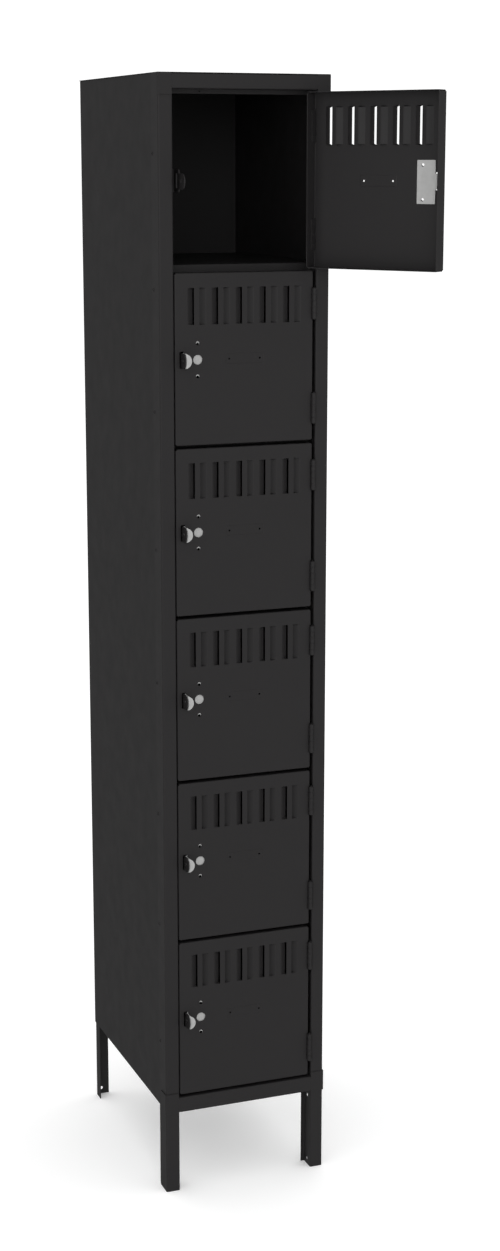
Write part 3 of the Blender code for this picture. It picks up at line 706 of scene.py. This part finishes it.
def rolled_outline(plate_x, back):
    """Cross-section of a hinge leaf about its pin: a flat plate rolled round into a knuckle."""
    half = LEAF_SHEET / 2
    radius = KNUCKLE_RADIUS - half
    side = math.copysign(1, plate_x)
    path = [Vector((plate_x, back)), Vector((plate_x, LEAF_FRONT))]
    start = 0.0 if side > 0 else math.pi
    sweep = math.radians(ROLL_SWEEP)
    for i in range(ROLL_STEPS + 1):
        turn = start - side * sweep * i / ROLL_STEPS
        path.append(Vector((radius * math.cos(turn), radius * math.sin(turn))))
    left, right = [], []
    for i, point in enumerate(path):
        ahead = path[min(i + 1, len(path) - 1)]
        behind = path[max(i - 1, 0)]
        along = (ahead - behind).normalized()
        across = Vector((-along.y, along.x)) * half
        left.append(tuple(point + across))
        right.append(tuple(point - across))
    return left + right[::-1]


def knuckle_span(index):
    pitch = HINGE_HEIGHT / KNUCKLES
    low = -HINGE_HEIGHT / 2 + index * pitch
    return low + KNUCKLE_GAP, low + pitch - KNUCKLE_GAP


def leaf_mesh(plate_x, first):
    """A leaf: a full-height plate with every second knuckle rolled from it."""
    half = HINGE_HEIGHT / 2
    mid = LEAF_SHEET / 2
    corners = [
        (LEAF_FRONT, -half, 0.4 * MM),
        (LEAF_BACK, -half),
        (LEAF_BACK, half),
        (LEAF_FRONT, half, 0.4 * MM),
    ]
    plate = prism_mesh(rounded_outline(corners, 2.0 * MM), "x", plate_x - mid, plate_x + mid)
    rolls = [
        prism_mesh(rolled_outline(plate_x, 6.0 * MM), "z", *knuckle_span(index))
        for index in range(first, KNUCKLES, 2)
    ]
    return gathered([plate, *rolls])


def pin_mesh():
    """A hinge pin about its own middle, with a domed head at each end."""
    end = HINGE_HEIGHT / 2 + 0.3 * MM
    profile = [
        (0, -end - 1.1 * MM),
        (1.5 * MM, -end - 0.9 * MM),
        (2.4 * MM, -end - 0.4 * MM),
        (PIN_HEAD_RADIUS, -end),
        (PIN_RADIUS, -end),
        (PIN_RADIUS, end),
        (PIN_HEAD_RADIUS, end),
        (2.4 * MM, end + 0.4 * MM),
        (1.5 * MM, end + 0.9 * MM),
        (0, end + 1.1 * MM),
    ]
    return lathe_mesh(profile)


def build_frame_leaves(coat):
    """The welded leaves beside the right upright."""
    whole = gathered([leaf_mesh(FRAME_LEAF_X, 0), box_mesh(BEAD_LOW, BEAD_HIGH)])
    spots = []
    for joint in joints:
        for side in (1, -1):
            x, y, z = joint["pos_m"]
            spots.append(Matrix.Translation((x, y, z + side * HINGE_OFFSET)))
    for i, spot in enumerate(spots, start=1):
        piece(f"frame_hinge_leaf_{i}", whole.copy(), coat, "frame", matrix=spot, edge=FINE_EDGE)


# --- doors -----------------------------------------------------------------------------------------------


def louver_columns():
    """The x lines of the louvers with how far each is pressed in, and the slits between them."""
    columns = []
    slits = []
    for i in range(LOUVERS):
        left = LOUVER_FIRST + i * LOUVER_PITCH
        right = left + LOUVER_STRIP
        root = left - LOUVER_SLIT - LOUVER_RAMP
        columns += [(root + share * LOUVER_RAMP, depth) for share, depth in RAMP_SHAPE]
        columns += [(left, 0.0), (right, 0.0)]
        root = right + LOUVER_SLIT + LOUVER_RAMP
        columns += [(root - share * LOUVER_RAMP, depth) for share, depth in reversed(RAMP_SHAPE)]
        slits += [(left - LOUVER_SLIT, left), (right, right + LOUVER_SLIT)]
    return columns, slits


def edge_lines(edge, sign):
    """(position, depth, is_fold) lines of one folded edge of the door, from its flange to the flat face."""
    flange = DOOR[1].y - DOOR[0].y
    lines = [(edge, flange, True)]
    for i in range(BEND_STEPS):
        turn = math.pi / 2 * i / BEND_STEPS
        lines.append((edge + sign * BEND * (1 - math.cos(turn)), BEND * (1 - math.sin(turn)), True))
    return [*lines, (edge + sign * BEND, 0.0, False)]


def in_recess(x, z):
    """Whether a point of the face lies on the sunk flat of the number plate recess."""
    inset = RECESS_EDGE - TINY
    in_x = RECESS_X[0] + inset < x < RECESS_X[1] - inset
    return in_x and RECESS_Z[0] + inset < z < RECESS_Z[1] - inset


def press_share(z):
    """How much of the louvers' full depth is reached at this height."""
    for edge, sign in ((LOUVER_BOTTOM, 1), (LOUVER_TOP, -1)):
        for share, depth in END_SHAPE:
            if abs(z - edge - sign * share * LOUVER_END) < TINY:
                return depth
    return 1.0 if LOUVER_BOTTOM < z < LOUVER_TOP else 0.0


def door_surface():
    """The outer surface of a door: face, louvers, number plate recess and four folded flanges."""
    half = (DOOR[1].z - DOOR[0].z) / 2
    left, right = DOOR[0].x - HINGE.x, DOOR[1].x - HINGE.x
    front = DOOR[0].y - HINGE.y
    louvers, slits = louver_columns()
    recess_columns = [RECESS_X[0], RECESS_X[0] + RECESS_EDGE, RECESS_X[1] - RECESS_EDGE, RECESS_X[1]]
    middle = [(x, depth, False) for x, depth in louvers]
    middle += [(x, 0.0, False) for x in recess_columns]
    columns = edge_lines(left, 1) + sorted(middle) + edge_lines(right, -1)[::-1]
    recess_rows = [RECESS_Z[0], RECESS_Z[0] + RECESS_EDGE, RECESS_Z[1] - RECESS_EDGE, RECESS_Z[1]]
    rows = [(z, 0.0, False) for z in recess_rows]
    rows += [(LOUVER_BOTTOM + share * LOUVER_END, 0.0, False) for share, _ in END_SHAPE]
    rows += [(LOUVER_TOP - share * LOUVER_END, 0.0, False) for share, _ in reversed(END_SHAPE)]
    rows = edge_lines(-half, 1) + rows + edge_lines(half, -1)[::-1]
    louver_at = dict(louvers)

    def louver_share(x):
        if x in louver_at:
            return louver_at[x]
        known = sorted(louver_at)
        for low, high in zip(known, known[1:]):
            if low < x < high:
                share = (x - low) / (high - low)
                return louver_at[low] * (1 - share) + louver_at[high] * share
        return 0.0

    bm = bmesh.new()
    grid = {}
    for i, (x, x_depth, x_fold) in enumerate(columns):
        for j, (z, z_depth, z_fold) in enumerate(rows):
            if x_fold and z_fold:
                continue
            depth = (x_depth if x_fold else 0.0) + z_depth
            if not x_fold:
                depth += louver_share(x) * press_share(z) * LOUVER_DEPTH
            if in_recess(x, z):
                depth += RECESS_DEPTH
            grid[i, j] = bm.verts.new((x, front + depth, z))

    def in_slit(i, j):
        x = (columns[i][0] + columns[i + 1][0]) / 2
        z = (rows[j][0] + rows[j + 1][0]) / 2
        return LOUVER_BOTTOM < z < LOUVER_TOP and any(low < x < high for low, high in slits)

    for i in range(len(columns) - 1):
        for j in range(len(rows) - 1):
            keys = [(i, j), (i + 1, j), (i + 1, j + 1), (i, j + 1)]
            if all(key in grid for key in keys) and not in_slit(i, j):
                bm.faces.new([grid[key] for key in keys])
    return finished_mesh("door_surface", bm)


def thick_mesh(surface, thickness):
    obj = bpy.data.objects.new("sheet", surface)
    bpy.context.scene.collection.objects.link(obj)
    step = obj.modifiers.new("thickness", "SOLIDIFY")
    step.thickness = thickness
    step.offset = -1.0
    step.use_even_offset = True
    result = baked_mesh(obj)
    bpy.data.objects.remove(obj, do_unlink=True)
    return result


def latch_outline():
    corners = [
        (LATCH_SLOT[0], LATCH_SLOT_Z[0], 2.2 * MM),
        (LATCH_SLOT[1], LATCH_SLOT_Z[0], 1.0 * MM),
        (LATCH_SLOT[1], LATCH_SLOT_Z[1], 1.0 * MM),
        (LATCH_SLOT[0], LATCH_SLOT_Z[1], 2.2 * MM),
    ]
    return rounded_outline(corners, MM)


def door_mesh():
    """A door's sheet with its latch slot, lock, screw and number plate holes and its hinge notches."""
    sheet = thick_mesh(door_surface(), DOOR_SHEET)
    front = DOOR[0].y - HINGE.y
    holes = [
        latch_outline(),
        circle_outline((LOCK_X, 0.0), LOCK_HOLE / 2, 48),
        circle_outline((LOCK_X, LOCK_SCREW_Z), LOCK_SCREW_HOLE / 2, 24),
        circle_outline((LOCK_X, -LOCK_SCREW_Z), LOCK_SCREW_HOLE / 2, 24),
    ]
    holes += [circle_outline((x, 0.0), NUMBER_HOLE / 2, 20) for x in NUMBER_HOLES_X]
    tools = [prism_mesh(hole, "y", front - 2 * MM, front + 4 * MM) for hole in holes]
    for middle in (HINGE_OFFSET, -HINGE_OFFSET):
        corners = [
            (NOTCH_LEFT, middle - NOTCH_HALF),
            (NOTCH_LEFT + NOTCH_WIDTH, middle - NOTCH_HALF),
            (NOTCH_LEFT + NOTCH_WIDTH, middle + NOTCH_HALF),
            (NOTCH_LEFT, middle + NOTCH_HALF),
        ]
        tools.append(prism_mesh(rounded_outline(corners, 0.8 * MM), "y", front - MM, front + NOTCH_DEPTH))
    return cut(sheet, *tools)


def catch_mesh():
    """Zinc plate whose tab folds out through the slot and again to a half-round pull in front of the door."""
    mid = CATCH_SHEET / 2
    front = DOOR[0].y - HINGE.y
    plate = front + DOOR_SHEET + GAP + mid
    web = PULL_LEFT + mid
    face = front - PULL_REACH + mid
    right = CATCH_RIGHT
    low, high = CATCH_Z
    path = [(right, plate), (web, plate), (web, face), (PULL_MIDDLE[0] + PULL_RADIUS + MM, face)]
    sheet = prism_mesh(folded_outline(path, CATCH_SHEET), "z", low, high)
    tab_low, tab_high = PULL_MIDDLE[1] - PULL_RADIUS, PULL_MIDDLE[1] + PULL_RADIUS
    corners = [
        (CATCH_LEFT, low, 1.5 * MM),
        (right, low, 1.5 * MM),
        (right, high, 1.5 * MM),
        (CATCH_LEFT, high, 1.5 * MM),
        (CATCH_LEFT, tab_high + MM, 0.8 * MM),
        (CATCH_LEFT - MM, tab_high, 0.3 * MM),
        (CATCH_LEFT - 20 * MM, tab_high, 0.1 * MM),
        (CATCH_LEFT - 20 * MM, tab_low, 0.1 * MM),
        (CATCH_LEFT - MM, tab_low, 0.3 * MM),
        (CATCH_LEFT, tab_low - MM, 0.8 * MM),
    ]
    far = 60 * MM
    blank = box_mesh((-0.5, -far, low - MM), (0.5, far, high + MM))
    keep = prism_mesh(rounded_outline(corners, MM), "y", -2 * far, 2 * far)
    disc = prism_mesh(circle_outline(PULL_MIDDLE, PULL_RADIUS, 64), "y", -2 * far, 2 * far)
    around = cut(box_mesh((-0.5, face - 2 * MM, low - MM), (0.5, face + MM, high + MM)), disc)
    eye_outline = circle_outline((STAPLE_EYE_Y - HINGE.y, 0.0), STAPLE_EYE / 2)
    eye = prism_mesh(eye_outline, "x", web - 2 * MM, web + 2 * MM)
    drills = [
        prism_mesh(circle_outline((LOCK_X, z), SCREW_DRILL_RADIUS, 20), "y", plate - 2 * MM, plate + 2 * MM)
        for z in (LOCK_SCREW_Z - SCREW_DRILL_DROP, -LOCK_SCREW_Z - SCREW_DRILL_DROP)
    ]
    return cut(sheet, cut(blank, keep), around, eye, *drills)


def hinge_pad_mesh():
    """Rivet heads on the inner side of the door's hinge leaf."""
    surface = DOOR[1].x - HINGE.x - DOOR_SHEET - LEAF_SHEET
    head = rivet_mesh(LEAF_RIVET_RADIUS, LEAF_RIVET_HEIGHT)
    turned = Matrix.Rotation(-math.pi / 2, 4, "Y")
    places = [Matrix.Translation((surface - 0.1 * MM, 13.0 * MM, z)) for z in LEAF_RIVETS_Z]
    return gathered([moved_mesh(head, place @ turned) for place in places])


def build_doors(coat, frame_coat, zinc):
    panel = door_mesh()
    catch = catch_mesh()
    leaf = leaf_mesh(DOOR[1].x - HINGE.x - DOOR_SHEET - GAP - LEAF_SHEET / 2, 1)
    pin = pin_mesh()
    pad = hinge_pad_mesh()
    for i, joint in enumerate(joints, start=1):
        body = f"door_{i}"
        turn = -math.radians(joint["range_deg"][0])
        axis = Matrix.Translation(joint["pos_m"]) @ Matrix.Rotation(turn, 4, "Z")
        piece(f"visual_door_{i}_panel", panel.copy(), coat, body, [f"door_{i}_panel"], axis, edge=0)
        plate = f"door_{i}_catch_plate"
        piece(f"visual_{plate}", catch.copy(), zinc, body, [plate], axis, CATCH_EDGE)
        for side, word in ((1, "upper"), (-1, "lower")):
            spot = axis @ Matrix.Translation((0, 0, side * HINGE_OFFSET))
            stem = f"door_{i}_{word}_hinge"
            leaf_node, pin_node = f"{stem}_leaf", f"{stem}_pin"
            piece(f"visual_{leaf_node}", leaf.copy(), frame_coat, body, [leaf_node], spot, edge=FINE_EDGE)
            piece(f"visual_{pin_node}", pin.copy(), frame_coat, body, [pin_node], spot, 0)
            piece(f"{stem}_pad", pad.copy(), frame_coat, body, (), spot, edge=FINE_EDGE)


# --- stage -----------------------------------------------------------------------------------------------


def build_floor():
    bm = bmesh.new()
    size = 12.0
    corners = [(-size, -size, 0), (size, -size, 0), (size, size, 0), (-size, size, 0)]
    bm.faces.new([bm.verts.new(corner) for corner in corners])
    floor = bpy.data.objects.new("floor", finished_mesh("floor", bm))
    bpy.context.scene.collection.objects.link(floor)
    made, nodes, links = new_material("pale_floor")
    nodes["Principled BSDF"].inputs["Base Color"].default_value = (0.93, 0.93, 0.93, 1.0)
    nodes["Principled BSDF"].inputs["Roughness"].default_value = 0.9
    nodes["Principled BSDF"].inputs["Specular IOR Level"].default_value = 0.1
    nodes["Principled BSDF"].inputs["Emission Color"].default_value = (1.0, 1.0, 1.0, 1.0)
    nodes["Principled BSDF"].inputs["Emission Strength"].default_value = 0.18
    floor.data.materials.append(made)
    floor.visible_glossy = False


def area_light(name, place, target, size, power):
    data = bpy.data.lights.new(name, "AREA")
    data.shape = "SQUARE"
    data.size = size
    data.energy = power
    light = bpy.data.objects.new(name, data)
    bpy.context.scene.collection.objects.link(light)
    light.location = place
    light.rotation_euler = (Vector(target) - Vector(place)).to_track_quat("-Z", "Y").to_euler()


def build_light():
    """An even white surround, dimmer in reflections, with one large soft light from the front left."""
    world = bpy.data.worlds.new("studio")
    bpy.context.scene.world = world
    world.use_nodes = True
    nodes, links = world.node_tree.nodes, world.node_tree.links
    background = nodes["Background"]
    path = nodes.new("ShaderNodeLightPath")
    strength = nodes.new("ShaderNodeMapRange")
    strength.inputs["To Min"].default_value = 1.1
    strength.inputs["To Max"].default_value = 0.22
    links.new(path.outputs["Is Glossy Ray"], strength.inputs["Value"])
    links.new(strength.outputs["Result"], background.inputs["Strength"])
    background.inputs["Color"].default_value = (1, 1, 1, 1)
    area_light("key", (-1.1, -3.8, 2.6), (0.15, 0.1, 1.0), 1.6, 22.0)


def build_camera():
    data = bpy.data.cameras.new("camera")
    data.lens = 61.380
    data.sensor_width = 36.0
    camera = bpy.data.objects.new("camera", data)
    bpy.context.scene.collection.objects.link(camera)
    forward = Vector((0.348487, 0.912593, -0.213849))
    level = forward.to_track_quat("-Z", "Y").to_matrix().to_4x4()
    roll = Matrix.Rotation(math.radians(0.021), 4, "Z")
    camera.matrix_world = Matrix.Translation((-1.13625, -3.399415, 1.84296)) @ level @ roll
    bpy.context.scene.camera = camera


def main():
    door_coat = powder_coat("door_powder_coat", DOOR_LEVEL, EDGE_WORN)
    frame_coat = powder_coat("frame_powder_coat", FRAME_LEVEL, EDGE_WORN)
    # Side, back and top sheets and shelves get the darker level, which is painted shade over the same coat
    skin_coat = panel_coat("panel_powder_coat_painted_shade", PANEL_SHADED_LEVEL, PANEL_WORN)
    build_uprights(frame_coat)
    build_side_rivets(frame_coat)
    build_rear_legs(frame_coat)
    build_skins(skin_coat)
    build_members(frame_coat)
    build_shelves(skin_coat)
    build_staples(frame_coat)
    build_frame_leaves(frame_coat)
    build_doors(door_coat, frame_coat, zinc_plate())
    build_floor()
    build_light()
    build_camera()
    bpy.context.scene.view_settings.view_transform = "Standard"


main()
